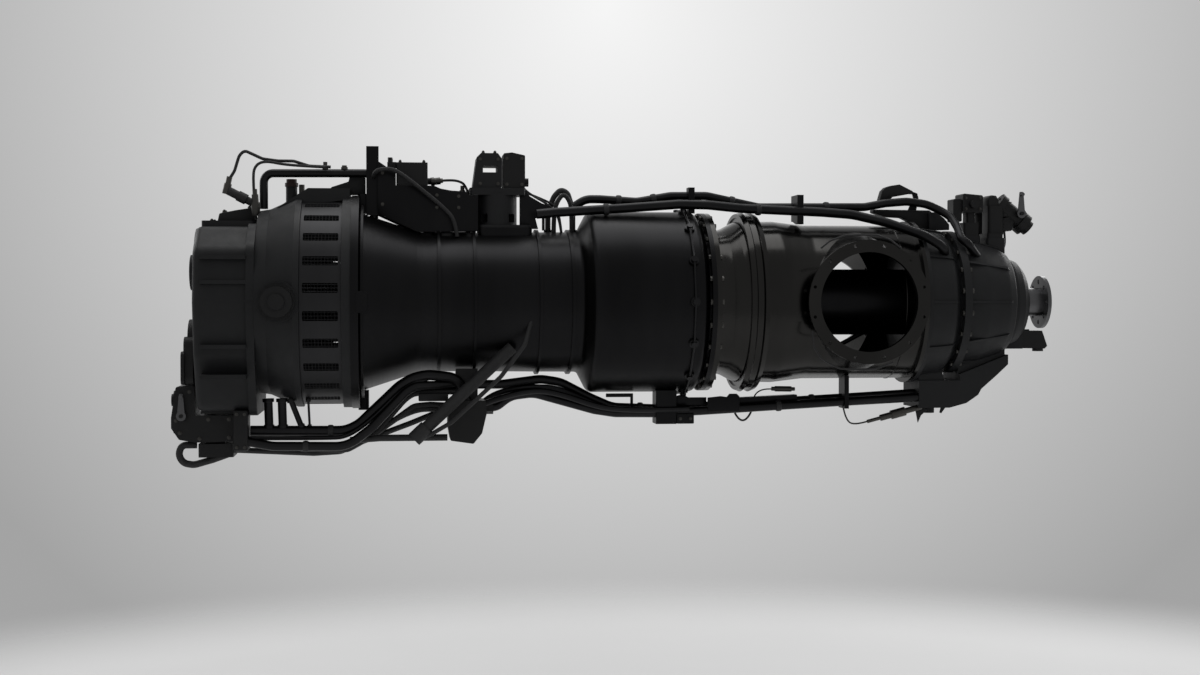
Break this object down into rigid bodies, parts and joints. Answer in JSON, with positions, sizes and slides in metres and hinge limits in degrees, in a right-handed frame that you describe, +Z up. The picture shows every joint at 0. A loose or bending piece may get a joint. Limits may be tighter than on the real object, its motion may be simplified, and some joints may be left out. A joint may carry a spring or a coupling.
{
  "type": "turboprop engine",
  "caption": "Turboprop engine with a ribbed accessory gearbox, screened air inlet, reverse-flow combustor, side exhaust ports and a planetary propeller gearbox.",
  "frame": {"origin": "on the shaft line, in the face of the four engine mount pads behind the gas generator case", "axes": "+X along the shaft line towards the propeller flange, +Z up, +Y to port"},
  "size_m": [1.924, 0.483, 0.6775],
  "materials": {
    "casting": "satin grey-black casting",
    "sheet_steel": "dark heat-toned sheet",
    "duct_alloy": "smooth dark nickel alloy",
    "machined_steel": "machined",
    "gear_steel": "ground",
    "turbine_alloy": "satin",
    "compressor_alloy": "satin",
    "accessory": "satin black",
    "tube_steel": "dull steel tube",
    "hose": "matte black hose",
    "screen_wire": "woven wire",
    "bolt_steel": "plated",
    "cap_paint": "satin"
  },
  "bodies": {
    "engine": {"accessory_gearbox_housing": "casting", "gearbox_diaphragm": "casting", "inlet_case": "casting", "inlet_screen": "screen_wire", "gas_generator_case": "sheet_steel", "compressor_stator": "compressor_alloy", "diffuser": "compressor_alloy", "combustion_liner": "turbine_alloy", "turbine_vane_ring": "turbine_alloy", "power_turbine_stator": "turbine_alloy", "fuel_manifold": "tube_steel", "exhaust_duct": "duct_alloy", "duct_clamp_ring": "duct_alloy", "shaft_housing": "sheet_steel", "gearbox_rear_case": "casting", "gearbox_front_case": "casting", "first_stage_ring_gear": "gear_steel", "second_stage_ring_gear": "gear_steel", "thrust_bearing_cover": "casting", "main_bearings": "machined_steel", "oil_sump": "casting", "propeller_governor": "accessory", "overspeed_governor": "accessory", "torque_transmitter": "accessory", "speed_pickup_bracket": "accessory", "fuel_pump": "accessory", "fuel_control_unit": "accessory", "oil_filter": "accessory", "ignition_exciter": "accessory", "bleed_valve": "casting", "bleed_actuator": "accessory", "breather_tube": "tube_steel", "upper_oil_tubes": "tube_steel", "lower_oil_tubes": "tube_steel", "air_lines": "hose", "fuel_lines": "hose", "fuel_heater": "accessory", "support_brackets": "sheet_steel", "electrical_leads": "hose", "flange_bolts": "bolt_steel"},
    "gas_generator": {"gas_generator_shaft": "machined_steel", "compressor_rotor": "compressor_alloy", "compressor_turbine": "turbine_alloy"},
    "power_turbine": {"power_turbine_shaft": "gear_steel", "power_turbine": "turbine_alloy"},
    "first_carrier": {"first_stage_carrier": "gear_steel"},
    "propeller": {"propeller_shaft": "machined_steel"},
    "starter_gear": {"starter_gear": "gear_steel"},
    "fuel_pump_gear": {"fuel_pump_gear": "gear_steel"},
    "governor_lever": {"governor_lever": "machined_steel"},
    "power_lever": {"power_lever": "machined_steel"},
    "bleed_piston": {"bleed_piston": "machined_steel"},
    "oil_filler_cap": {"oil_filler_cap": "cap_paint"},
    "first_planet_1": {"first_stage_planet_1": "gear_steel"},
    "first_planet_2": {"first_stage_planet_2": "gear_steel"},
    "first_planet_3": {"first_stage_planet_3": "gear_steel"},
    "second_planet_1": {"second_stage_planet_1": "gear_steel"},
    "second_planet_2": {"second_stage_planet_2": "gear_steel"},
    "second_planet_3": {"second_stage_planet_3": "gear_steel"},
    "second_planet_4": {"second_stage_planet_4": "gear_steel"}
  },
  "joints": [
    {"name": "gas_generator_spin", "type": "hinge", "parent": "engine", "child": "gas_generator", "pos_m": [0, 0, 0], "axis": [1, 0, 0], "continuous": true},
    {"name": "power_turbine_spin", "type": "hinge", "parent": "engine", "child": "power_turbine", "pos_m": [0, 0, 0], "axis": [1, 0, 0], "continuous": true},
    {"name": "first_carrier_spin", "type": "hinge", "parent": "engine", "child": "first_carrier", "pos_m": [0, 0, 0], "axis": [1, 0, 0], "continuous": true},
    {"name": "propeller_spin", "type": "hinge", "parent": "engine", "child": "propeller", "pos_m": [0, 0, 0], "axis": [1, 0, 0], "continuous": true},
    {"name": "starter_gear_spin", "type": "hinge", "parent": "engine", "child": "starter_gear", "pos_m": [0, 0, 0.08], "axis": [1, 0, 0], "continuous": true},
    {"name": "fuel_pump_gear_spin", "type": "hinge", "parent": "engine", "child": "fuel_pump_gear", "pos_m": [0, -0.02993, -0.08222], "axis": [1, 0, 0], "continuous": true},
    {"name": "first_planet_1_spin", "type": "hinge", "parent": "first_carrier", "child": "first_planet_1", "pos_m": [0, 0.063, 0], "axis": [1, 0, 0], "continuous": true},
    {"name": "first_planet_2_spin", "type": "hinge", "parent": "first_carrier", "child": "first_planet_2", "pos_m": [0, -0.0315, 0.05456], "axis": [1, 0, 0], "continuous": true},
    {"name": "first_planet_3_spin", "type": "hinge", "parent": "first_carrier", "child": "first_planet_3", "pos_m": [0, -0.0315, -0.05456], "axis": [1, 0, 0], "continuous": true},
    {"name": "second_planet_1_spin", "type": "hinge", "parent": "propeller", "child": "second_planet_1", "pos_m": [0, 0.0805, 0], "axis": [1, 0, 0], "continuous": true},
    {"name": "second_planet_2_spin", "type": "hinge", "parent": "propeller", "child": "second_planet_2", "pos_m": [0, 0, 0.0805], "axis": [1, 0, 0], "continuous": true},
    {"name": "second_planet_3_spin", "type": "hinge", "parent": "propeller", "child": "second_planet_3", "pos_m": [0, -0.0805, 0], "axis": [1, 0, 0], "continuous": true},
    {"name": "second_planet_4_spin", "type": "hinge", "parent": "propeller", "child": "second_planet_4", "pos_m": [0, 0, -0.0805], "axis": [1, 0, 0], "continuous": true},
    {"name": "governor_lever_pivot", "type": "hinge", "parent": "engine", "child": "governor_lever", "pos_m": [1.452, -0.032, 0.196], "axis": [0, 1, 0], "range_deg": [-35, 35]},
    {"name": "power_lever_pivot", "type": "hinge", "parent": "engine", "child": "power_lever", "pos_m": [-0.366, -0.069, -0.236], "axis": [0, 1, 0], "range_deg": [-45, 45]},
    {"name": "bleed_piston_slide", "type": "slide", "parent": "engine", "child": "bleed_piston", "axis": [0, 0, 1], "range_m": [0, 0.012]},
    {"name": "oil_filler_cap_lift", "type": "slide", "parent": "engine", "child": "oil_filler_cap", "axis": [0, 0, 1], "range_m": [0, 0.12]}
  ],
  "couplings": [
    {"joint": "first_carrier_spin", "follows": "power_turbine_spin", "ratio": 0.25},
    {"joint": "propeller_spin", "follows": "power_turbine_spin", "ratio": 0.065217},
    {"joint": "starter_gear_spin", "follows": "gas_generator_spin", "ratio": -0.45455},
    {"joint": "fuel_pump_gear_spin", "follows": "gas_generator_spin", "ratio": -0.4},
    {"joint": "first_planet_1_spin", "follows": "power_turbine_spin", "ratio": -0.75},
    {"joint": "first_planet_2_spin", "follows": "power_turbine_spin", "ratio": -0.75},
    {"joint": "first_planet_3_spin", "follows": "power_turbine_spin", "ratio": -0.75},
    {"joint": "second_planet_1_spin", "follows": "power_turbine_spin", "ratio": -0.20158},
    {"joint": "second_planet_2_spin", "follows": "power_turbine_spin", "ratio": -0.20158},
    {"joint": "second_planet_3_spin", "follows": "power_turbine_spin", "ratio": -0.20158},
    {"joint": "second_planet_4_spin", "follows": "power_turbine_spin", "ratio": -0.20158}
  ]
}
